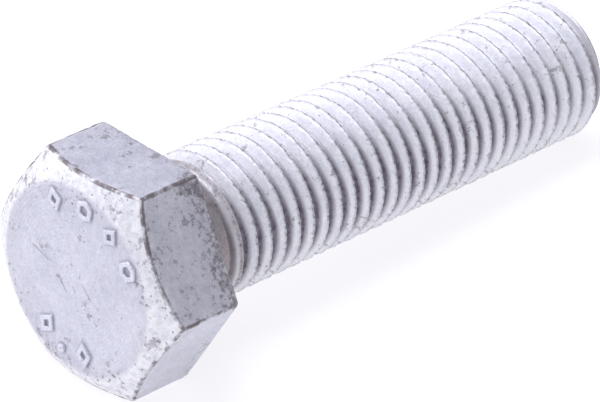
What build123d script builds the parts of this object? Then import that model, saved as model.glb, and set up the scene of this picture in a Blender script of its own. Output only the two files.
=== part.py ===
from build123d import *
import math
import os

# Fully threaded hexagon-head bolt, M20 x 2.5, 75 mm under the head.
#
# The thread has its true cross-section, drawn as rings one pitch apart: the lead of its
# right-hand helix is left out of the solid and belongs to the finished look alone.
#
# Part frame: origin at the centre of the head's bearing face, +X along the shank to the point,
# +Z up through a hexagon flat. Everything is drawn about a local Z axis (the shank's axis, with
# the head below z = 0), then turned so that local +Z becomes +X and local +X becomes -Z.
#
# A real bolt is one forging. It is divided into nodes where its functional zones change: the
# head, the plain neck, the thread's run-out, the full thread, the chamfered point and the two
# groups of raised marks. Neighbouring nodes meet on flat faces across the axis.

# ---- driving dimensions, mm and degrees ----
THREAD_D = 20.0
PITCH = 2.5
LENGTH = 75.0
CREST_FLAT = PITCH / 8
THREAD_DEPTH = 17 * math.sqrt(3) / 48 * PITCH
FLANK_HALF_ANGLE = 30.0

ACROSS_FLATS = 30.0
HEAD_HEIGHT = 12.5
CORNER_ROUND = 0.85
BEARING_EDGE_ROUND = 0.8
TOP_DISC_R = 13.2
TOP_CHAMFER_DEG = 33.5
CHAMFER_CROWN = 0.03

NECK_D = 18.6
HEAD_FILLET = 0.8
SPIGOT_DEPTH = 2.0
NECK_CHAMFER_X = 5.4
RUN_OUT_X = 5.9
FULL_THREAD_X = 8.4
RUN_OUT_START_R = 9.05
POINT_X = FULL_THREAD_X + 25 * PITCH
POINT_END_R = 8.4

PAD_HEIGHT = 0.35
# The marks stand this far clear of the top face, so that no face is shared with the head.
PAD_CLEARANCE = 0.002
# (shape, radius, angle about the local Z axis, length outwards, width) of each raised mark
MAKER_PADS = [
    ("diamond", 10.9, 158.3, 3.4, 2.6),
    ("hexagon", 11.1, 187.8, 3.0, 2.6),
    ("diamond", 11.3, 213.5, 3.2, 2.6),
    ("hexagon", 11.4, 238.0, 3.0, 2.6),
]
CLASS_PADS = [
    ("diamond", 9.7, 29.0, 3.6, 2.7),
    ("dot", 11.0, 9.7, 1.2, 1.2),
    ("diamond", 10.2, -13.0, 3.6, 2.7),
]

CREST_R = THREAD_D / 2
ROOT_R = CREST_R - THREAD_DEPTH
NECK_R = NECK_D / 2
SPIGOT_R = NECK_R + HEAD_FILLET

os.makedirs("parts", exist_ok=True)


def to_part_frame(shape):
    """Turn a shape drawn about local Z into the part frame."""
    return Rot(0, 90, 0) * shape


def revolved(points):
    """Solid of revolution about local Z from (radius, z) points."""
    outline = Polyline([(r, 0, z) for r, z in points], close=True)
    return revolve(make_face(outline), axis=Axis.Z)


def polar(radius, degrees):
    """Point in the XY plane."""
    angle = math.radians(degrees)
    return (radius * math.cos(angle), radius * math.sin(angle))


# ---- hexagonal head ----
def hexagon_blank():
    """Hexagonal prism, flats across local X, with rounded corners and bearing-side edges."""
    outline = RegularPolygon(
        radius=ACROSS_FLATS / 2, side_count=6, major_radius=False, rotation=30
    )
    prism = extrude(outline, amount=-HEAD_HEIGHT)
    prism = fillet(prism.edges().filter_by(Axis.Z), CORNER_ROUND)
    bearing_edges = prism.faces().sort_by(Axis.Z)[-1].outer_wire().edges()
    return fillet(bearing_edges, BEARING_EDGE_ROUND)


def top_chamfer_envelope():
    """Shallow cone, very slightly crowned, that cuts the curved chamfer into all six corners."""
    outer = ACROSS_FLATS / 2 * 1.3
    run = outer - TOP_DISC_R
    slope = math.radians(TOP_CHAMFER_DEG)
    rise = run * math.tan(slope)
    middle = (
        TOP_DISC_R + run / 2 + CHAMFER_CROWN * math.sin(slope),
        0,
        -HEAD_HEIGHT + rise / 2 - CHAMFER_CROWN * math.cos(slope),
    )
    crowned = ThreePointArc(
        (TOP_DISC_R, 0, -HEAD_HEIGHT), middle, (outer, 0, -HEAD_HEIGHT + rise)
    )
    rest = Polyline(
        [
            (outer, 0, -HEAD_HEIGHT + rise),
            (outer, 0, 1),
            (0, 0, 1),
            (0, 0, -HEAD_HEIGHT),
            (TOP_DISC_R, 0, -HEAD_HEIGHT),
        ]
    )
    return revolve(make_face([crowned, rest]), axis=Axis.Z)


def head():
    """Head with the seat that takes the neck, so the bearing face is a ring."""
    seat = Pos(0, 0, -SPIGOT_DEPTH) * Cylinder(
        SPIGOT_R, SPIGOT_DEPTH + 1, align=(Align.CENTER, Align.CENTER, Align.MIN)
    )
    return (hexagon_blank() & top_chamfer_envelope()) - seat


# ---- plain neck with the bearing fillet ----
def neck():
    """Neck seated in the head, flared at the bearing face, bevelled where the thread begins."""
    fillet_mid = HEAD_FILLET * (1 - math.sin(math.radians(45)))
    side = Polyline(
        [
            (NECK_R, 0, HEAD_FILLET),
            (NECK_R, 0, NECK_CHAMFER_X),
            (ROOT_R, 0, RUN_OUT_X),
            (0, 0, RUN_OUT_X),
            (0, 0, -SPIGOT_DEPTH),
            (SPIGOT_R, 0, -SPIGOT_DEPTH),
            (SPIGOT_R, 0, 0),
        ]
    )
    blend = ThreePointArc(
        (SPIGOT_R, 0, 0),
        (NECK_R + fillet_mid, 0, fillet_mid),
        (NECK_R, 0, HEAD_FILLET),
    )
    return revolve(make_face([side, blend]), axis=Axis.Z)


# ---- thread ----
def ridged_rod(x_start, x_end):
    """Threaded rod between two heights: ridges one pitch apart with the thread's cross-section."""
    half_crest = CREST_FLAT / 2
    foot = half_crest + THREAD_DEPTH * math.tan(math.radians(FLANK_HALF_ANGLE))
    points = [(0, x_start), (ROOT_R, x_start)]
    crest = x_start + PITCH / 2
    while crest < x_end:
        points += [
            (ROOT_R, crest - foot),
            (CREST_R, crest - half_crest),
            (CREST_R, crest + half_crest),
            (ROOT_R, crest + foot),
        ]
        crest += PITCH
    last = max(x_end, points[-1][1] + (PITCH / 2 - foot))
    return revolved(points + [(ROOT_R, last), (0, last)])


def run_out():
    """First ridge, cut down by a cone so that it rises out of the neck."""
    cone = revolved(
        [
            (0, RUN_OUT_X),
            (RUN_OUT_START_R, RUN_OUT_X),
            (CREST_R + 0.02, FULL_THREAD_X),
            (0, FULL_THREAD_X),
        ]
    )
    return ridged_rod(RUN_OUT_X, FULL_THREAD_X) & cone


def point():
    """End of the thread with a 45-degree chamfer down to the root."""
    chamfer = CREST_R + 0.5 - POINT_END_R
    cone = revolved(
        [
            (0, POINT_X),
            (CREST_R + 0.5, POINT_X),
            (CREST_R + 0.5, LENGTH - chamfer),
            (POINT_END_R, LENGTH),
            (0, LENGTH),
        ]
    )
    return ridged_rod(POINT_X, LENGTH) & cone


# ---- raised marks on the head's top ----
def pad_outline(shape, length, width):
    """Flat outline of one mark, long way along local X."""
    if shape == "dot":
        return Circle(length / 2)
    if shape == "diamond":
        corners = [(length / 2, 0), (0, width / 2), (-length / 2, 0), (0, -width / 2)]
        opening = 0.42
    else:
        shoulder = length / 2 - width / 4
        corners = [
            (length / 2, 0),
            (shoulder, width / 2),
            (-shoulder, width / 2),
            (-length / 2, 0),
            (-shoulder, -width / 2),
            (shoulder, -width / 2),
        ]
        opening = 0.5
    outer = make_face(Polyline(corners, close=True))
    inner = make_face(Polyline([(x * opening, y * opening) for x, y in corners], close=True))
    return outer - inner


def raised_marks(pads):
    """All marks of one group, standing on the head's top face."""
    solids = []
    for shape, radius, degrees, length, width in pads:
        pad = extrude(pad_outline(shape, length, width), amount=-PAD_HEIGHT)
        x, y = polar(radius, degrees)
        solids.append(Pos(x, y, -HEAD_HEIGHT - PAD_CLEARANCE) * (Rot(0, 0, degrees) * pad))
    return Compound(children=[solid.solid() for solid in solids])


NODES = {
    "hex_head": head(),
    "under_head_neck": neck(),
    "thread_run_out": run_out(),
    "threaded_shank": ridged_rod(FULL_THREAD_X, POINT_X),
    "chamfered_point": point(),
    "maker_pads": raised_marks(MAKER_PADS),
    "class_pads": raised_marks(CLASS_PADS),
}

for name, shape in NODES.items():
    placed = to_part_frame(shape)
    export_step(placed, "parts/" + name + ".step")
    box = placed.bounding_box()
    print(name, round(placed.volume, 2), box.min, box.max)
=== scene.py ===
"""Hex bolt, M20 x 2.5 x 75, zinc plated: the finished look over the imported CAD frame.

The bolt lies along +X with its bearing face at x = 0. Lengths in the making are millimetres
and are turned to metres when a mesh is written. The seven CAD nodes are replaced by a head, a
neck, one thread that runs from its run-out to the point, and seven raised marks.
"""
import math
from functools import partial

import bmesh
import bpy
import numpy as np
from mathutils import Matrix, Vector, noise


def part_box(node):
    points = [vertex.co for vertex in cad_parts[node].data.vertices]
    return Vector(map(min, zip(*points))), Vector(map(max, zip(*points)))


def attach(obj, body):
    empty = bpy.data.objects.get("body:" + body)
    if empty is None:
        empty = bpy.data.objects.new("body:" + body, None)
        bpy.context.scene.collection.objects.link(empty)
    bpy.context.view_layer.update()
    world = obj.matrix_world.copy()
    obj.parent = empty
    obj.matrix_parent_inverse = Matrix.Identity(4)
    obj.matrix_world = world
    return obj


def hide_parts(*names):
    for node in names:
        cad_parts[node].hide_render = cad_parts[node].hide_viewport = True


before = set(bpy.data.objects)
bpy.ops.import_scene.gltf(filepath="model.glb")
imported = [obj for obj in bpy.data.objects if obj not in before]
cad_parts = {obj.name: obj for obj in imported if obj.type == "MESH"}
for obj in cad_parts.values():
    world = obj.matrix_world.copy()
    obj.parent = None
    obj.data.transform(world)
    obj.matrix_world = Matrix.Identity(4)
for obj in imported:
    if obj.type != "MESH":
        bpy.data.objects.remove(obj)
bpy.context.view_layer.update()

MM = 0.001

# ---- sizes of the bolt, mm and degrees ----
def span(node, axis):
    """Lowest and highest coordinate of a CAD node along an axis (0, 1 or 2), in mm."""
    return [round(corner[axis] / MM, 3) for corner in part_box(node)]


HEAD_HEIGHT = -span("hex_head", 0)[0]
ACROSS_FLATS = span("hex_head", 2)[1] - span("hex_head", 2)[0]
RUN_OUT_X = span("thread_run_out", 0)[0]
FULL_THREAD_X = span("threaded_shank", 0)[0]
BOLT_LENGTH = span("chamfered_point", 0)[1]

TOP_DISC_R = 13.2
TOP_CHAMFER = 33.5
THREAD_PITCH = 2.5
CREST_R = 10.0
ROOT_R = 8.466
CREST_FLAT = THREAD_PITCH / 8
NECK_R = 9.3
NECK_FLARE = 0.8
NECK_BEVEL_X = 5.4
RUN_OUT_R = 9.05
POINT_END_R = 8.4
CREST_TURN = -135.0
CREST_X = 6.95
MARK_HEIGHT = 0.35

# Rounding where two surfaces meet, mm.
CORNER_ROUND = 0.4
TOP_ROUND = 0.6
CHAMFER_ROUND = 0.16
BEARING_ROUND = 1.0
CREST_ROUND = 0.09
ROOT_ROUND = 0.25
RUN_OUT_ROUND = 0.12
POINT_ROUND = 0.1

# The head is held this far inside its true faces, so that no unevenness leaves the CAD box.
HEAD_SINK = 0.035
# A thread's strip closes on the axis beyond its ends: radius lost for each mm along.
CLOSING_SLOPE = 3.7

# Raised marks on the top: shape, distance out, angle, length, width.
MAKER_SIDE = [
    ("diamond", 10.9, 158.3, 3.4, 2.6), ("hexagon", 11.1, 187.8, 3.0, 2.6),
    ("diamond", 11.3, 213.5, 3.2, 2.6), ("hexagon", 11.4, 238.0, 3.0, 2.6),
]
CLASS_SIDE = [
    ("diamond", 9.7, 29.0, 3.6, 2.7), ("dot", 11.0, 9.7, 1.2, 1.2),
    ("diamond", 10.2, -13.0, 3.6, 2.7),
]


# ---- node kinds that are used often ----
MATH = "ShaderNodeMath"
MIX = "ShaderNodeMix"
NOISE = "ShaderNodeTexNoise"
ATTRIBUTE = "ShaderNodeAttribute"
MAP_RANGE = "ShaderNodeMapRange"
VECTOR_MATH = "ShaderNodeVectorMath"


# ---- small helpers ----
def linear(hex_colour):
    """sRGB hex to the linear RGBA that shader sockets take."""
    channels = [int(hex_colour[i:i + 2], 16) / 255 for i in (1, 3, 5)]
    return [c / 12.92 if c <= 0.04045 else ((c + 0.055) / 1.055) ** 2.4 for c in channels] + [1.0]


def add_node(tree, kind, *values, named=None, **settings):
    """Add a node and set its properties, then give each input a value or a link.

    Values fill the inputs in order; named ones go by the input's name or number. A node given as
    a value stands for its first live output.
    """
    node = tree.nodes.new(kind)
    for key, value in settings.items():
        setattr(node, key, value)
    for key, value in [*enumerate(values), *(named or {}).items()]:
        if isinstance(value, bpy.types.Node):
            value = next(output for output in value.outputs if output.enabled)
        if isinstance(value, bpy.types.NodeSocket):
            tree.links.new(value, node.inputs[key])
        else:
            node.inputs[key].default_value = value
    return node


def risen(add, value, limit, gain):
    """0 up to a limit, then rising to 1 at the given gain."""
    past = add(MATH, value, limit, operation="SUBTRACT")
    return add(MATH, past, gain, operation="MULTIPLY", use_clamp=True)


def ripple(points, size, seed=0.0):
    """Smooth noise of about -1 to 1 at each point (mm), with bumps of the given size (mm)."""
    shift = Vector((seed, seed * 1.7, -seed))
    return np.array([noise.noise(Vector(p) / size + shift) for p in points])


def write_mesh(name, points, faces, attributes=None):
    """Smooth-shaded object from points in mm; doubles merged, normals outward."""
    mesh = bpy.data.meshes.new(name)
    mesh.from_pydata([tuple(p) for p in np.asarray(points) * MM], [], faces)
    for key, values in (attributes or {}).items():
        layer = mesh.attributes.new(key, "FLOAT", "POINT")
        layer.data.foreach_set("value", np.asarray(values, dtype=np.float32))
    work = bmesh.new()
    work.from_mesh(mesh)
    bmesh.ops.remove_doubles(work, verts=work.verts, dist=1e-7)
    bmesh.ops.recalc_face_normals(work, faces=work.faces)
    work.to_mesh(mesh)
    work.free()
    mesh.polygons.foreach_set("use_smooth", [True] * len(mesh.polygons))
    obj = bpy.data.objects.new(name, mesh)
    bpy.context.collection.objects.link(obj)
    return obj


def ring_faces(rings, around):
    """Quads between rings of points; the first and last rings close to a pole when merged."""
    faces = []
    for i in range(rings - 1):
        low, high = i * around, (i + 1) * around
        for j in range(around):
            k = (j + 1) % around
            if i == 0:
                faces.append((low, high + k, high + j))
            elif i == rings - 2:
                faces.append((low + j, low + k, high))
            else:
                faces.append((low + j, low + k, high + k, high + j))
    return faces


# ---- head ----
def smooth_max(a, b, width):
    """Larger of two fields, rounded where they meet."""
    near = np.clip(width - np.abs(a - b), 0, None) / width
    return np.maximum(a, b) + near * near * width / 4


def head_fields(points):
    """Distances outside each face of the head: six flats, top, chamfer cone, bearing face."""
    x, y, z = points.T
    flats = [
        y * math.sin(math.radians(60 * i)) + z * math.cos(math.radians(60 * i)) - ACROSS_FLATS / 2
        for i in range(6)
    ]
    slope = math.radians(TOP_CHAMFER)
    cone = (np.hypot(y, z) - TOP_DISC_R) * math.sin(slope) - (x + HEAD_HEIGHT) * math.cos(slope)
    return flats, -x - HEAD_HEIGHT, cone, x


def head_surface(points):
    """Head as one rounded field, zero on its surface."""
    flats, top, cone, bearing = head_fields(points)
    field = flats[0]
    for flat in flats[1:]:
        field = smooth_max(field, flat, CORNER_ROUND)
    field = smooth_max(field, smooth_max(top, cone, TOP_ROUND), CHAMFER_ROUND)
    return smooth_max(field, bearing, BEARING_ROUND)


def around_marks(points):
    """1 at the foot of a raised mark and inside it, falling to 0 within half a millimetre of it; it
    masks the shade painted round the marks.
    """
    reach = 0.3
    mark_foot_shade = np.zeros(len(points))
    for shape, radius, degrees, length, width in MAKER_SIDE + CLASS_SIDE:
        turn = math.radians(degrees)
        away_x = -points[:, 2] - radius * math.cos(turn)
        away_y = points[:, 1] - radius * math.sin(turn)
        along = np.abs(away_x * math.cos(turn) + away_y * math.sin(turn))
        aside = np.abs(away_y * math.cos(turn) - away_x * math.sin(turn))
        if shape == "diamond":
            gap = (along * width + aside * length - length * width / 2) / math.hypot(length, width)
        elif shape == "hexagon":
            gap = np.maximum(aside - width / 2, (2 * along - length + aside) / math.sqrt(5))
        else:
            gap = np.hypot(along, aside) - length / 2
        mark_foot_shade = np.maximum(mark_foot_shade, np.exp(-(np.clip(gap, 0, None) / reach) ** 2))
    return mark_foot_shade


def fan_rays():
    """Starts and directions, as (x, radius), of the rays that meet the head from the inside.

    They fan out over its top, round its chamfer, down its sides and round its bearing edge.
    """
    hub_r, hub_top, hub_low = 12.2, -7.0, -2.0
    # Each leg: from, to, turned from, turned to (degrees), steps.
    legs = [
        ((hub_top, 0.0), (hub_top, hub_r), 180.0, 180.0, 44),
        ((hub_top, hub_r), (hub_top, hub_r), 180.0, 90.0, 44),
        ((hub_top, hub_r), (hub_low, hub_r), 90.0, 90.0, 20),
        ((hub_low, hub_r), (hub_low, hub_r), 90.0, 0.0, 22),
        ((hub_low, hub_r), (hub_low, 0.0), 0.0, 0.0, 8),
    ]
    starts, ways = [], []
    for index, (begin, end, turn_a, turn_b, count) in enumerate(legs):
        for step in range(0 if index == 0 else 1, count + 1):
            t = step / count
            turn = math.radians(turn_a + (turn_b - turn_a) * t)
            starts.append([begin[0] + (end[0] - begin[0]) * t, begin[1] + (end[1] - begin[1]) * t])
            ways.append([math.cos(turn), math.sin(turn)])
    return np.array(starts), np.array(ways)


def forge_head():
    """Skin the head with rays, knock its edges and note where wear, grime and the painted shade round
    the marks go.
    """
    around = 600
    longest, halvings = 14.0, 34
    starts, ways = fan_rays()
    spin = np.linspace(0, 2 * math.pi, around, endpoint=False)
    side = np.stack([np.sin(spin), np.cos(spin)], 1)

    def place(profile):
        along = np.repeat(profile[:, 0], around)
        out = np.repeat(profile[:, 1], around).reshape(-1, 1) * np.tile(side, (len(profile), 1))
        return np.column_stack([along, out])

    origin, way = place(starts), place(ways)
    near, far = np.zeros(len(origin)), np.full(len(origin), longest)
    for _ in range(halvings):
        middle = (near + far) / 2
        inside = head_surface(origin + way * middle[:, None]) < 0
        near, far = np.where(inside, middle, near), np.where(inside, far, middle)
    points = origin + way * near[:, None]

    flats, top, cone, bearing = head_fields(points)
    faces_near = np.sort(np.stack(flats + [np.maximum(top, cone), bearing]), axis=0)
    edge_width = 0.55
    edge = np.exp(-((faces_near[-1] - faces_near[-2]) / edge_width) ** 2)
    slopes = [
        head_surface(points + shift) - head_surface(points - shift) for shift in np.eye(3) * 0.01
    ]
    normal = np.stack(slopes, 1)
    normal /= np.linalg.norm(normal, axis=1)[:, None]
    knocks = np.clip(ripple(points, 0.9, 3.0) + 0.6 * ripple(points, 0.4, 5.0) - 0.15, 0, None)
    sink = HEAD_SINK + 0.02 * ripple(points, 4.0, 1.0) + 0.16 * edge * knocks
    points = points - normal * sink[:, None]

    # Grime: one flat is stained and the next is clean, and most lies by the bearing edge.
    stained_side = np.clip(normal @ np.array([0, -0.866, 0.5]) * 4 - 3, 0, 1)
    clean_side = np.clip(normal @ np.array([0, -0.866, -0.5]) * 4 - 3, 0, 1)
    rim = np.exp(-((points[:, 0] + 0.7) / 2.3) ** 2)
    grime = 0.12 + 0.25 * stained_side + rim * (0.35 + 0.65 * stained_side)
    grime = grime + 0.5 * edge - 0.15 * clean_side
    facing_top = -normal[:, 0]
    top_face = np.clip((facing_top - 0.93) * 18, 0, 1)
    chamfer = np.clip((facing_top - 0.55) * 8, 0, 1) * (1 - top_face)
    outer_top = np.clip((np.hypot(points[:, 1], points[:, 2]) - 10.5) / 3, 0, 1)
    grime = grime * (1 - top_face - chamfer)
    grime = grime + (0.1 + 0.4 * outer_top) * top_face + 0.42 * chamfer
    return write_mesh(
        "forged_hex_head", points, ring_faces(len(starts), around),
        {"edge": edge, "grime": np.clip(grime, 0, 1), "top_face": top_face, "chamfer": chamfer,
         # The shade painted at the foot of each raised mark, on the top face only.
         "mark_foot_shade": around_marks(points) * top_face},
    )


# ---- neck ----
def turn_neck():
    """Plain neck: flare under the head, straight barrel, bevel down to the thread's root."""
    around = 240
    foot_x, end_x = -1.5, 7.5
    profile = [(foot_x, 0.0), (foot_x, NECK_R + NECK_FLARE - 0.05)]
    for step in range(9):
        turn = math.radians(90 * step / 8)
        profile.append((
            NECK_FLARE * (1 - math.cos(turn)),
            NECK_R + NECK_FLARE * (1 - math.sin(turn)),
        ))
    for step in range(1, 25):
        profile.append((NECK_FLARE + (NECK_BEVEL_X - NECK_FLARE) * step / 24, NECK_R))
    for step in range(1, 7):
        t = step / 6
        profile.append((NECK_BEVEL_X + 0.5 * t, NECK_R - (NECK_R - ROOT_R + 0.1) * t * t))
    profile.append((end_x, ROOT_R - 0.15))
    profile.append((end_x, 0.0))
    spin = np.linspace(0, 2 * math.pi, around, endpoint=False)
    rings = [
        np.column_stack([np.full(around, x), r * np.sin(spin), r * np.cos(spin)]) for x, r in profile
    ]
    points = np.concatenate(rings)
    radial = points * np.array([0, 1, 1])
    length = np.maximum(np.linalg.norm(radial, axis=1), 1e-9)[:, None]
    sink = (0.02 + 0.02 * ripple(points, 2.5, 9.0))[:, None]
    points = points - radial / length * sink * (length > 1)
    # The neck darkens towards the head: a brown film and painted shade from the head.
    grime = np.clip(0.75 - 0.1 * points[:, 0], 0.2, 1)
    return write_mesh(
        "plain_neck", points, ring_faces(len(profile), around),
        {"edge": np.zeros(len(points)), "grime": grime},
    )


# ---- thread ----
def rolled_thread_tree(finish):
    """Geometry Nodes: a strip wound round the shank whose cross-section is the thread's."""
    tree = bpy.data.node_groups.new("rolled_thread", "GeometryNodeTree")
    add = partial(add_node, tree)
    sizes = {
        "Pitch": THREAD_PITCH, "Crest radius": CREST_R, "Root radius": ROOT_R,
        "Crest flat": CREST_FLAT, "Start x": 5.2, "End x": BOLT_LENGTH,
        "Point radius": POINT_END_R, "Run-out radius": RUN_OUT_R, "Run-out x": RUN_OUT_X,
        "Full thread x": FULL_THREAD_X, "Crest x": CREST_X,
        "Crest turn": math.radians(CREST_TURN), "Nick depth": 0.16, "Seed": 4.0,
    }
    counts = {"Turns": 32, "Steps per turn": 176, "Steps per pitch": 16}
    for name in sizes:
        tree.interface.new_socket(name, in_out="INPUT", socket_type="NodeSocketFloat")
    for name in counts:
        tree.interface.new_socket(name, in_out="INPUT", socket_type="NodeSocketInt")
    tree.interface.new_socket("Geometry", in_out="OUTPUT", socket_type="NodeSocketGeometry")
    given = add("NodeGroupInput").outputs

    # A flat grid: its length counts turns, its width is one pitch.
    lengthwise = add(MATH, given["Turns"], given["Steps per turn"], operation="MULTIPLY")
    grid = add("GeometryNodeMeshGrid", named={
        "Size X": given["Turns"], "Size Y": 1.0,
        "Vertices X": add(MATH, lengthwise, 1, operation="ADD"),
        "Vertices Y": add(MATH, given["Steps per pitch"], 1, operation="ADD"),
    })
    flat = add("ShaderNodeSeparateXYZ", add("GeometryNodeInputPosition")).outputs
    middle = add(MATH, given["Start x"], given["End x"], operation="ADD")
    middle = add(MATH, middle, 0.5, operation="MULTIPLY")
    wound_along = add(MATH, flat["X"], given["Pitch"], operation="MULTIPLY")
    crest_at = add(MATH, middle, wound_along, operation="ADD")
    across = add(MATH, flat["Y"], given["Pitch"], operation="MULTIPLY")
    raw_x = add(MATH, crest_at, across, operation="ADD")

    # Points close to the end face are drawn onto its edge, which keeps that edge a true circle.
    past_end = add(MATH, raw_x, given["End x"], operation="SUBTRACT")
    on_edge = add(MATH, past_end, 0.0, 0.07, operation="COMPARE")
    overshoot = add(MATH, past_end, on_edge, operation="MULTIPLY")
    x = add(MATH, raw_x, overshoot, operation="SUBTRACT")
    turns_on = add(MATH, crest_at, given["Crest x"], operation="SUBTRACT")
    turns_on = add(MATH, turns_on, given["Pitch"], operation="DIVIDE")
    turned_by = add(MATH, turns_on, 2 * math.pi, operation="MULTIPLY")
    turn = add(MATH, given["Crest turn"], turned_by, operation="ADD")

    # Thread cross-section: 60-degree flanks with a softened crest and a rounded root.
    off_crest = add(MATH, across, operation="ABSOLUTE")
    half_crest = add(MATH, given["Crest flat"], 0.5, operation="MULTIPLY")
    off_crest = add(MATH, off_crest, half_crest, operation="SUBTRACT")
    drop = add(MATH, off_crest, math.sqrt(3), operation="MULTIPLY")
    flank = add(MATH, given["Crest radius"], drop, operation="SUBTRACT")
    capped = add(MATH, flank, given["Crest radius"], CREST_ROUND, operation="SMOOTH_MIN")
    ridge = add(MATH, capped, given["Root radius"], ROOT_ROUND, operation="SMOOTH_MAX")

    # The ridge rises out of the neck along a cone.
    cone_rise = add(MATH, given["Crest radius"], given["Run-out radius"], operation="SUBTRACT")
    cone_run = add(MATH, given["Full thread x"], given["Run-out x"], operation="SUBTRACT")
    cone_slope = add(MATH, cone_rise, cone_run, operation="DIVIDE")
    up_cone = add(MATH, x, given["Run-out x"], operation="SUBTRACT")
    up_cone = add(MATH, up_cone, cone_slope, operation="MULTIPLY")
    run_out = add(MATH, given["Run-out radius"], up_cone, operation="ADD")
    shaped = add(MATH, ridge, run_out, RUN_OUT_ROUND, operation="SMOOTH_MIN")

    # The point is chamfered at 45 degrees and closed by the end face.
    beyond = add(MATH, x, given["End x"], operation="SUBTRACT")
    before_end = add(MATH, beyond, 0.0, operation="MINIMUM")
    chamfer = add(MATH, given["Point radius"], before_end, operation="SUBTRACT")
    end_face = add(MATH, beyond, 0.0, operation="MAXIMUM")
    end_face = add(MATH, end_face, CLOSING_SLOPE, operation="MULTIPLY")
    point = add(MATH, chamfer, end_face, operation="SUBTRACT")
    shaped = add(MATH, shaped, point, POINT_ROUND, operation="SMOOTH_MIN")

    # The start is closed in the same way, inside the neck.
    before = add(MATH, given["Start x"], x, operation="SUBTRACT")
    before = add(MATH, before, 0.0, operation="MAXIMUM")
    before = add(MATH, before, CLOSING_SLOPE, operation="MULTIPLY")
    shaped = add(MATH, shaped, before, operation="SUBTRACT")
    shaped = add(MATH, shaped, 0.0, operation="MAXIMUM")

    # Nicks and rubbed places, only where the crest stands proud.
    crest_foot = add(MATH, given["Crest radius"], 0.45, operation="SUBTRACT")
    crest_part = risen(add, ridge, crest_foot, 2.2)
    held_x = add(MATH, x, given["Start x"], operation="MAXIMUM")
    held_x = add(MATH, held_x, given["End x"], operation="MINIMUM")
    sine = add(MATH, turn, operation="SINE")
    cosine = add(MATH, turn, operation="COSINE")
    downward = add(MATH, shaped, -1, operation="MULTIPLY")
    place = add(
        "ShaderNodeCombineXYZ",
        held_x,
        add(MATH, sine, shaped, operation="MULTIPLY"),
        add(MATH, cosine, downward, operation="MULTIPLY"),
    )
    coarse = add(NOISE, noise_dimensions="4D", named={
        "Vector": place, "W": given["Seed"], "Scale": 1.1, "Detail": 2.0, "Roughness": 0.6,
    })
    fine = add(NOISE, noise_dimensions="4D", named={
        "Vector": place, "W": given["Seed"], "Scale": 2.0, "Detail": 2.0,
    })
    nick = risen(add, coarse, 0.60, 7.0)
    nick_depth = add(MATH, nick, given["Nick depth"], operation="MULTIPLY")
    rub_depth = add(MATH, risen(add, fine, 0.45, 5.0), 0.17, operation="MULTIPLY")
    worn = add(MATH, nick_depth, rub_depth, operation="ADD")
    worn = add(MATH, crest_part, worn, operation="MULTIPLY")
    # No wear on the closing turns past the ends, whose points all gather on the axis.
    open_part = add(MATH, shaped, 7.5, operation="SUBTRACT", use_clamp=True)
    worn = add(MATH, worn, open_part, operation="MULTIPLY")
    radius = add(MATH, shaped, worn, operation="SUBTRACT")

    # How deep each point lies in the valley, and how near the crest's edge that faces the point.
    thread_depth = add(MATH, given["Crest radius"], given["Root radius"], operation="SUBTRACT")
    valley = add(MATH, given["Crest radius"], radius, operation="SUBTRACT")
    valley = add(MATH, valley, thread_depth, operation="DIVIDE", use_clamp=True)
    on_thread = risen(add, radius, 8.2, 10.0)
    # The real bruise is about 0.1 mm wide. It is drawn some 0.4 mm to each side so that it shows, and
    # the band also holds painted shade: the dark line where the crest hides the valley beyond.
    off_edge = add(MATH, across, 0.09, operation="SUBTRACT")
    off_edge = add(MATH, off_edge, operation="ABSOLUTE")
    off_edge = add(MATH, off_edge, 2.6, operation="MULTIPLY")
    far_edge = add(MATH, 1.0, off_edge, operation="SUBTRACT", use_clamp=True)

    # The attributes are stored while the grid is still flat, since they are worked out from it.
    strip = grid
    for name, value, part in (
        ("valley", valley, on_thread), ("nick", nick, crest_part), ("far_edge", far_edge, on_thread),
    ):
        strip = add("GeometryNodeStoreNamedAttribute", data_type="FLOAT", domain="POINT", named={
            "Geometry": strip, "Name": name, "Value": add(MATH, value, part, operation="MULTIPLY"),
        })

    metres = add(MATH, radius, MM, operation="MULTIPLY")
    downward = add(MATH, metres, -1, operation="MULTIPLY")
    wound_place = add(
        "ShaderNodeCombineXYZ",
        add(MATH, held_x, MM, operation="MULTIPLY"),
        add(MATH, sine, metres, operation="MULTIPLY"),
        add(MATH, cosine, downward, operation="MULTIPLY"),
    )
    wound = add("GeometryNodeSetPosition", named={"Geometry": strip, "Position": wound_place})
    welded = add("GeometryNodeMergeByDistance", named={"Geometry": wound, "Distance": 1e-6})
    smooth = add("GeometryNodeSetShadeSmooth", named={"Geometry": welded})
    real = add("GeometryNodeRealizeInstances", named={"Geometry": smooth})
    coated = add("GeometryNodeSetMaterial", named={"Geometry": real, "Material": finish})
    add("NodeGroupOutput", named={"Geometry": coated})
    return tree, {**sizes, **counts}


def roll_thread(finish):
    """Run the thread tree on an empty object and keep its result as a plain mesh."""
    tree, sizes = rolled_thread_tree(finish)
    carrier = bpy.data.objects.new("thread_carrier", bpy.data.meshes.new("thread_carrier"))
    bpy.context.collection.objects.link(carrier)
    modifier = carrier.modifiers.new("rolled_thread", "NODES")
    modifier.node_group = tree
    for item in tree.interface.items_tree:
        if item.name in sizes:
            modifier[item.identifier] = sizes[item.name]
    bpy.context.view_layer.update()
    seen = carrier.evaluated_get(bpy.context.evaluated_depsgraph_get())
    mesh = bpy.data.meshes.new_from_object(seen)
    carrier.modifiers.remove(modifier)
    bpy.data.objects.remove(carrier)
    work = bmesh.new()
    work.from_mesh(mesh)
    bmesh.ops.dissolve_degenerate(work, edges=work.edges, dist=1e-7)
    bmesh.ops.recalc_face_normals(work, faces=work.faces)
    work.to_mesh(mesh)
    work.free()
    mesh.polygons.foreach_set("use_smooth", [True] * len(mesh.polygons))
    obj = bpy.data.objects.new("rolled_thread", mesh)
    bpy.context.collection.objects.link(obj)
    return obj


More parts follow.
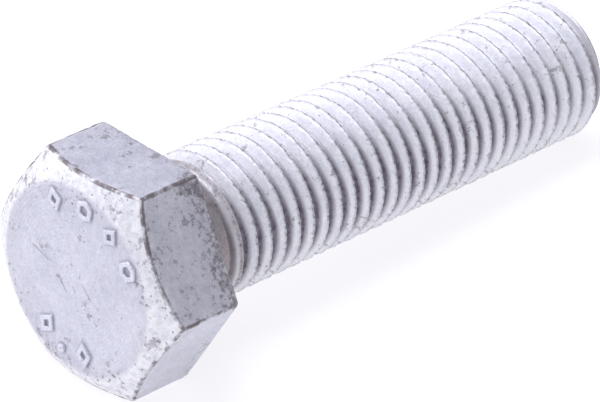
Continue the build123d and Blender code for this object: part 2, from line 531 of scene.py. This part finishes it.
# ---- raised marks ----
def mark_corners(shape, length, width):
    """Outline of one mark, long way outwards."""
    if shape == "diamond":
        return [(length / 2, 0), (0, width / 2), (-length / 2, 0), (0, -width / 2)]
    shoulder = length / 2 - width / 4
    return [
        (length / 2, 0), (shoulder, width / 2), (-shoulder, width / 2),
        (-length / 2, 0), (-shoulder, -width / 2), (shoulder, -width / 2),
    ]


def press_mark(name, shape, radius, degrees, length, width):
    """A raised frame with rounded shoulders, its foot a little inside the head's top."""
    if shape == "dot":
        turns = [k * math.pi / 12 for k in range(24)]
        corners = [(length / 2 * math.cos(t), length / 2 * math.sin(t)) for t in turns]
        opening = 0.12
    else:
        corners = mark_corners(shape, length, width)
        opening = 0.42 if shape == "diamond" else 0.5
    turn = math.radians(degrees)
    foot = -0.15
    spots = []
    for scale, height in ((1.0, foot), (1.0, MARK_HEIGHT), (opening, MARK_HEIGHT), (opening, foot)):
        for cx, cy in corners:
            px = radius * math.cos(turn) + scale * (cx * math.cos(turn) - cy * math.sin(turn))
            py = radius * math.sin(turn) + scale * (cx * math.sin(turn) + cy * math.cos(turn))
            spots.append((-HEAD_HEIGHT - height, py, -px))
    count = len(corners)
    faces = []
    for band in range(4):
        for i in range(count):
            j = (i + 1) % count
            low, high = band * count, (band + 1) % 4 * count
            faces.append((low + i, low + j, high + j, high + i))
    obj = write_mesh(name, spots, faces)
    soften = obj.modifiers.new("worn shoulders", "BEVEL")
    soften.width = 0.17 * MM
    soften.segments = 4
    soften.limit_method = "ANGLE"
    soften.angle_limit = math.radians(25)
    return obj


# ---- finishes ----
# Noise in the plating: size of its patches in mm, detail, roughness.
NOISE_LAYERS = {
    "cloud": (5.0, 3.0, 0.5), "mottle": (0.9, 4.0, 0.6), "speckle": (0.3, 2.0, 0.6),
    "clumps": (3.5, 2.0, 0.5), "pits": (0.6, 5.0, 0.66), "stains": (1.6, 6.0, 0.7),
    "uneven": (2.0, 2.0, 0.5),
}


def thread_coats(add, mm, mottle):
    """Dirt, bruises and painted shade of a thread: (cover, tint) coats from the lowest up, and the
    bruised, shaded crest edge.
    """
    valley = add(ATTRIBUTE, attribute_name="valley").outputs["Fac"]
    nick = add(ATTRIBUTE, attribute_name="nick").outputs["Fac"]
    far_edge = add(ATTRIBUTE, attribute_name="far_edge").outputs["Fac"]
    spot = add("ShaderNodeSeparateXYZ", mm).outputs

    # Painted shade, with some oil and dust, lies in the valleys, deeper on the bolt's lower side and
    # less by the point.
    low_side_shade = add(MAP_RANGE, spot["Z"], 8.0, 2.0, 0.0, 1.0)
    by_point = add(MAP_RANGE, spot["X"], 45.0, 72.0, 0.0, 0.22)
    shore = add(MATH, 0.74, by_point, operation="ADD")
    shore = add(MATH, shore, add(MATH, low_side_shade, 0.38, operation="MULTIPLY"), operation="SUBTRACT")
    valley_cover = add(MATH, 0.7, add(MATH, mottle, 0.25, operation="MULTIPLY"), operation="ADD")
    valley_dirt_and_shade = add(MATH, risen(add, valley, shore, 2.5), valley_cover, operation="MULTIPLY")

    # The crest's edge that faces the point is bruised in flecks of about 0.5 mm, and painted dark as
    # the shade of the valley it hides.
    grain = add(NOISE, named={"Vector": mm, "Scale": 1 / 0.55, "Detail": 3.0, "Roughness": 0.6})
    flecks = risen(add, grain, 0.5, 8.0)
    flecks = add(MATH, 0.42, add(MATH, flecks, 0.58, operation="MULTIPLY"), operation="ADD")
    bruise_and_edge_shade = add(MATH, far_edge, flecks, operation="MULTIPLY")

    # The first, shallow turns get painted shade from the head with the neck's brown film, and the
    # point's chamfer is stained.
    head_shade_and_film = add(MAP_RANGE, spot["X"], 5.6, 9.0, 0.75, 0.0)
    on_point = add(MAP_RANGE, spot["X"], 73.0, 74.2, 0.0, 0.8)
    coats = [
        (valley_dirt_and_shade, "#54465a"),
        (bruise_and_edge_shade, "#564c56"),
        (add(MATH, nick, 0.8, operation="MULTIPLY"), "#6a626b"),
        (head_shade_and_film, "#a39b9d"),
        (add(MATH, on_point, valley, operation="MULTIPLY"), "#857a80"),
    ]
    return coats, far_edge, bruise_and_edge_shade


def head_coats(add, mottle, grime):
    """Wear, film and painted shade of the head, neck and marks: (cover, tint) coats from the lowest
    up.
    """
    chamfer = add(ATTRIBUTE, attribute_name="chamfer").outputs["Fac"]
    mark_foot_shade = add(ATTRIBUTE, attribute_name="mark_foot_shade").outputs["Fac"]
    bright = add(MATH, 0.34, add(MATH, mottle, 0.45, operation="MULTIPLY"), operation="ADD")
    shade_depth = add(MATH, 0.25, add(MATH, mottle, 0.35, operation="MULTIPLY"), operation="ADD")
    return [
        # The chamfer is rubbed bright.
        (add(MATH, chamfer, bright, operation="MULTIPLY"), "#fbfbfd"),
        # A thin brown film lies wherever grime gathers.
        (add(MATH, grime, 0.2, operation="MULTIPLY"), "#a89e9f"),
        # Painted shade lies in the corner round each raised mark.
        (add(MATH, mark_foot_shade, shade_depth, operation="MULTIPLY"), "#7c7a88"),
    ]


def edge_coats(add, mm, edge, grime):
    """Edges rubbed bright in broken stretches, with the very edge bruised brown."""
    grain = add(NOISE, named={"Vector": mm, "Scale": 1 / 1.3, "Detail": 3.0, "Roughness": 0.6})
    rubbed = add(MATH, edge, risen(add, grain, 0.4, 5.0), operation="MULTIPLY")
    rubbed = add(MATH, rubbed, 0.5, operation="MULTIPLY", use_clamp=True)
    limit = add(MATH, 0.46, add(MATH, grime, 0.12, operation="MULTIPLY"), operation="SUBTRACT")
    patches = add(NOISE, named={"Vector": mm, "Scale": 1 / 2.2, "Detail": 4.0, "Roughness": 0.6})
    patchy = risen(add, patches, limit, 6.0)
    bruise = add(MATH, risen(add, edge, 0.6, 5.0), patchy, operation="MULTIPLY")
    bruise = add(MATH, bruise, 0.85, operation="MULTIPLY")
    return [(rubbed, "#f1f2f8"), (bruise, "#63585a")]


def scratch_lines(add, mm, scratches):
    """1 along each scratch, from its begin to its end, falling to 0 at its width."""
    lines = 0.0
    for begin, end, width in scratches:
        start = Vector(begin)
        run = Vector(end) - start
        away = add(VECTOR_MATH, mm, start, operation="SUBTRACT")
        along = add(VECTOR_MATH, away, run.normalized(), operation="DOT_PRODUCT")
        along = add(MATH, along, 0.0, operation="MAXIMUM")
        along = add(MATH, along, run.length, operation="MINIMUM")
        foot = add(VECTOR_MATH, run.normalized(), named={"Scale": along}, operation="SCALE")
        gap = add(VECTOR_MATH, away, foot, operation="DISTANCE")
        gap = add(MATH, gap, width, operation="DIVIDE")
        line = add(MATH, 1.0, gap, operation="SUBTRACT", use_clamp=True)
        lines = add(MATH, lines, line, operation="MAXIMUM")
    return lines


def zinc_finish(name, pale, shade, grime_scale, dull=0.46, rings=0.0, scratches=(), threaded=False):
    """Dull zinc plating on cold-formed steel.

    Electroplated zinc gives a pale blue-grey metal with a soft, broad shine. Handling leaves fine
    scratches, the coat wears bright on edges, and small dark pits gather dirt.
    """
    material = bpy.data.materials.new(name)
    material.use_nodes = True
    tree = material.node_tree
    tree.nodes.clear()
    add = partial(add_node, tree)

    place = add("ShaderNodeTexCoord").outputs["Object"]
    mm = add(VECTOR_MATH, place, named={"Scale": 1000.0}, operation="SCALE")
    layers = {}
    for key, (size, detail, rough) in NOISE_LAYERS.items():
        layers[key] = add(NOISE, named={
            "Vector": mm, "Scale": 1 / size, "Detail": detail, "Roughness": rough,
        })

    # Tone of the plating: cloudy, mottled and speckled. The coat's real grain is under 0.1 mm,
    # and its speckle is drawn at 0.3 mm so that it shows.
    mottle = risen(add, layers["mottle"], 0.38, 3.4)
    speckle = risen(add, layers["speckle"], 0.36, 3.4)
    cloud = add(MATH, risen(add, layers["cloud"], 0.35, 2.6), 0.3, operation="MULTIPLY")
    tone = add(MATH, cloud, add(MATH, mottle, 0.35, operation="MULTIPLY"), operation="ADD")
    fine_tone = add(MATH, speckle, 0.35, operation="MULTIPLY")
    tone = add(MATH, tone, fine_tone, operation="ADD", use_clamp=True)

    if threaded:
        grime = 0.1
        coats, far_edge, bruise_and_edge_shade = thread_coats(add, mm, mottle)
    else:
        grime = add(ATTRIBUTE, attribute_name="grime").outputs["Fac"]
        coats = head_coats(add, mottle, grime)

    # Pits of 0.2 to 0.5 mm and ragged stains of 1 to 2 mm, more of both where grime gathers.
    reach = add(MATH, grime, 0.145 * grime_scale, operation="MULTIPLY")
    clumps = add(MATH, layers["clumps"], 0.5, operation="SUBTRACT")
    clumps = add(MATH, clumps, 0.25, operation="MULTIPLY")
    marred = {}
    for key, limit, gain in (("pits", 0.66, 25.0), ("stains", 0.635, 20.0)):
        limit = add(MATH, limit, reach, operation="SUBTRACT")
        limit = add(MATH, limit, clumps, operation="SUBTRACT")
        marred[key] = risen(add, layers[key], limit, gain)
    coats.append((add(MATH, marred["stains"], 0.5, operation="MULTIPLY"), "#6f686c"))
    coats.append((add(MATH, marred["pits"], 0.65, operation="MULTIPLY"), "#544e53"))

    if not threaded:
        edge = add(ATTRIBUTE, attribute_name="edge").outputs["Fac"]
        coats.extend(edge_coats(add, mm, edge, grime))
    scratch = scratch_lines(add, mm, scratches)
    if scratches:
        coats.append((add(MATH, scratch, 0.8, operation="MULTIPLY"), "#77737f"))

    # A Mix node's colours are its inputs 6 and 7.
    colour = add(MIX, data_type="RGBA", named={0: tone, 6: linear(shade), 7: linear(pale)})
    for cover, tint in coats:
        colour = add(MIX, data_type="RGBA", named={0: cover, 6: colour, 7: linear(tint)})

    # Height in mm: plating grain, unevenness of the forging, pits and scratches.
    height = add(MATH, speckle, 0.02, operation="MULTIPLY")
    uneven = add(MATH, layers["uneven"], 0.05, operation="MULTIPLY")
    height = add(MATH, height, uneven, operation="ADD")
    eaten = add(MATH, marred["pits"], marred["stains"], operation="ADD")
    eaten = add(MATH, eaten, 0.012, operation="MULTIPLY")
    height = add(MATH, height, eaten, operation="SUBTRACT")
    if rings:
        # Turning lines on the top, 0.5 mm apart; the real ones are finer and would not show.
        turned = add(
            "ShaderNodeTexWave", wave_type="RINGS", rings_direction="X", wave_profile="SIN",
            named={"Vector": mm, "Scale": 0.63, "Distortion": 0.6, "Detail": 2.0, "Detail Scale": 0.6},
        ).outputs["Fac"]
        top_face = add(ATTRIBUTE, attribute_name="top_face").outputs["Fac"]
        ring_height = add(MATH, top_face, rings, operation="MULTIPLY")
        ring_height = add(MATH, turned, ring_height, operation="MULTIPLY")
        height = add(MATH, height, ring_height, operation="ADD")
    if scratches:
        groove = add(MATH, scratch, 0.06, operation="MULTIPLY")
        height = add(MATH, height, groove, operation="SUBTRACT")
    bump = add("ShaderNodeBump", named={"Height": height, "Distance": MM, "Strength": 1.0})

    # The dull oxide film scatters light like paint and lets only part of the metal's gleam through.
    roughness = add(MATH, dull, add(MATH, mottle, 0.10, operation="MULTIPLY"), operation="ADD")
    rough_pits = add(MATH, marred["pits"], 0.3, operation="MULTIPLY")
    roughness = add(MATH, roughness, rough_pits, operation="ADD", use_clamp=True)
    covered = add(MATH, marred["pits"], 0.4, operation="MULTIPLY")
    metal = add(MATH, 0.5, covered, operation="SUBTRACT", use_clamp=True)
    if threaded:
        rough_edge = add(MATH, far_edge, 0.3, operation="MULTIPLY")
        roughness = add(MATH, roughness, rough_edge, operation="ADD", use_clamp=True)
        covered = add(MATH, bruise_and_edge_shade, 0.5, operation="MULTIPLY")
        metal = add(MATH, metal, covered, operation="SUBTRACT", use_clamp=True)
    surface = add("ShaderNodeBsdfPrincipled", named={
        "Base Color": colour, "Roughness": roughness, "Metallic": metal, "Normal": bump,
    })
    add("ShaderNodeOutputMaterial", surface)
    return material


def table_finish():
    """Backlit opal acrylic: a matt white table top that glows a little, so shadows stay faint."""
    material = bpy.data.materials.new("backlit_opal_acrylic")
    material.use_nodes = True
    surface = material.node_tree.nodes["Principled BSDF"]
    surface.inputs["Base Color"].default_value = linear("#9a9a9c")
    surface.inputs["Roughness"].default_value = 0.9
    surface.inputs["Emission Color"].default_value = linear("#fdfcff")
    surface.inputs["Emission Strength"].default_value = 0.8
    return material


# ---- the bolt ----
def on_top(radius, degrees):
    """Point on the head's top face at a radius and an angle, as the marks are placed."""
    turn = math.radians(degrees)
    return (-HEAD_HEIGHT, radius * math.sin(turn), -radius * math.cos(turn))


head_scratches = [
    (on_top(8.1, 101.8), on_top(5.1, 99.1), 0.16),
    (on_top(3.1, 81.1), on_top(2.8, 31.9), 0.18),
    (on_top(1.4, -93.0), on_top(3.5, -63.5), 0.13),
]
forged = zinc_finish("zinc_plated_cold_forged_steel", "#e0e1ea", "#bbbcca", 1.0,
                     rings=0.022, scratches=head_scratches)
# The neck's colours are darker than the head's: partly a brown film, partly painted shade from the
# head.
turned = zinc_finish("zinc_plated_neck_steel_with_painted_shade", "#b9b3b6", "#877f82", 1.0)
rolled = zinc_finish("zinc_plated_rolled_thread_steel", "#fefeff", "#e2e3ec", 0.8, threaded=True)
worn = zinc_finish("zinc_plated_worn_mark_steel", "#e4e5ee", "#c4c5d2", 0.6, dull=0.28)

head = forge_head()
head.data.materials.append(forged)
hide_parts("hex_head")
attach(head, "root")

neck = turn_neck()
neck.data.materials.append(turned)
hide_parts("under_head_neck")
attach(neck, "root")

thread = roll_thread(rolled)
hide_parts("thread_run_out", "threaded_shank", "chamfered_point")
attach(thread, "root")

for group, node_name in ((MAKER_SIDE, "maker_pads"), (CLASS_SIDE, "class_pads")):
    for number, mark in enumerate(group):
        piece = press_mark(node_name[:-1] + "_%d" % (number + 1), *mark)
        piece.data.materials.append(worn)
        if number == 0:
            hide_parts(node_name)
        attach(piece, "root")

# ---- stage: the bolt lies on the edge of a flat and on its thread's point ----
CHAMFER_LENGTH = CREST_R - POINT_END_R
REST_TILT = math.atan2(ACROSS_FLATS / 2 - CREST_R, BOLT_LENGTH - CHAMFER_LENGTH)
FLOOR_GAP = 0.05
floor_mesh = bpy.data.meshes.new("table_top")
work = bmesh.new()
bmesh.ops.create_grid(work, x_segments=2, y_segments=2, size=4.0)  # metres each way
work.to_mesh(floor_mesh)
work.free()
floor = bpy.data.objects.new("table_top", floor_mesh)
bpy.context.collection.objects.link(floor)
floor.rotation_euler = (0, -REST_TILT, 0)
floor.location = (0, 0, -(ACROSS_FLATS / 2 + FLOOR_GAP) * MM)
floor.data.materials.append(table_finish())

# ---- camera: a long lens from the head's side, a little rolled ----
AIM = Vector((25.26, -1.75, -2.02)) * MM
CAMERA_DISTANCE = 0.66656
CAMERA_LENS = 308.3
LOOK_TURN, LOOK_DOWN, ROLL = math.radians(44.257), math.radians(31.193), math.radians(3.385)
look = Vector((
    math.cos(LOOK_DOWN) * math.cos(LOOK_TURN),
    math.cos(LOOK_DOWN) * math.sin(LOOK_TURN),
    -math.sin(LOOK_DOWN),
))
level_right = look.cross(Vector((0, 0, 1))).normalized()
level_up = level_right.cross(look)
right = level_right * math.cos(ROLL) + level_up * math.sin(ROLL)
up = level_up * math.cos(ROLL) - level_right * math.sin(ROLL)
camera_data = bpy.data.cameras.new("camera")
camera_data.lens = CAMERA_LENS
camera_data.sensor_width = 36.0
camera_data.clip_end = 20.0
camera = bpy.data.objects.new("camera", camera_data)
bpy.context.collection.objects.link(camera)
facing = Matrix((right, up, -look)).transposed().to_4x4()
camera.matrix_world = Matrix.Translation(AIM - look * CAMERA_DISTANCE) @ facing
bpy.context.scene.camera = camera


# ---- light: a bright tent, dimmer on the camera's right ----
def soft_box(name, offset, size, energy, colour):
    """Area light at an offset (metres) from the bolt's middle, turned to face it."""
    data = bpy.data.lights.new(name, "AREA")
    data.shape = "RECTANGLE"
    data.size, data.size_y = size
    data.energy = energy
    data.color = linear(colour)[:3]
    lamp = bpy.data.objects.new(name, data)
    bpy.context.collection.objects.link(lamp)
    facing_bolt = (-offset).to_track_quat("-Z", "Y").to_matrix().to_4x4()
    lamp.matrix_world = Matrix.Translation(AIM + offset) @ facing_bolt


soft_box("left_box", -right * 0.9 + look * 0.1 + up * 0.25, (0.6, 0.6), 1.4, "#ffffff")
soft_box("top_box", Vector((-0.2, 0.15, 0.8)), (0.6, 0.4), 5.4, "#f6f6ff")

world = bpy.data.worlds.new("studio_tent")
world.use_nodes = True
world.node_tree.nodes.clear()
add = partial(add_node, world.node_tree)
direction = add("ShaderNodeTexCoord").outputs["Generated"]
sideways = add(VECTOR_MATH, direction, right, operation="DOT_PRODUCT")
dimming = add(MAP_RANGE, sideways, -0.8, 0.8, 0.86, 0.3)
tent = add("ShaderNodeBackground", named={"Color": linear("#f6f6ff"), "Strength": dimming})
add("ShaderNodeOutputWorld", tent)
bpy.context.scene.world = world
bpy.context.scene.view_settings.view_transform = "Standard"
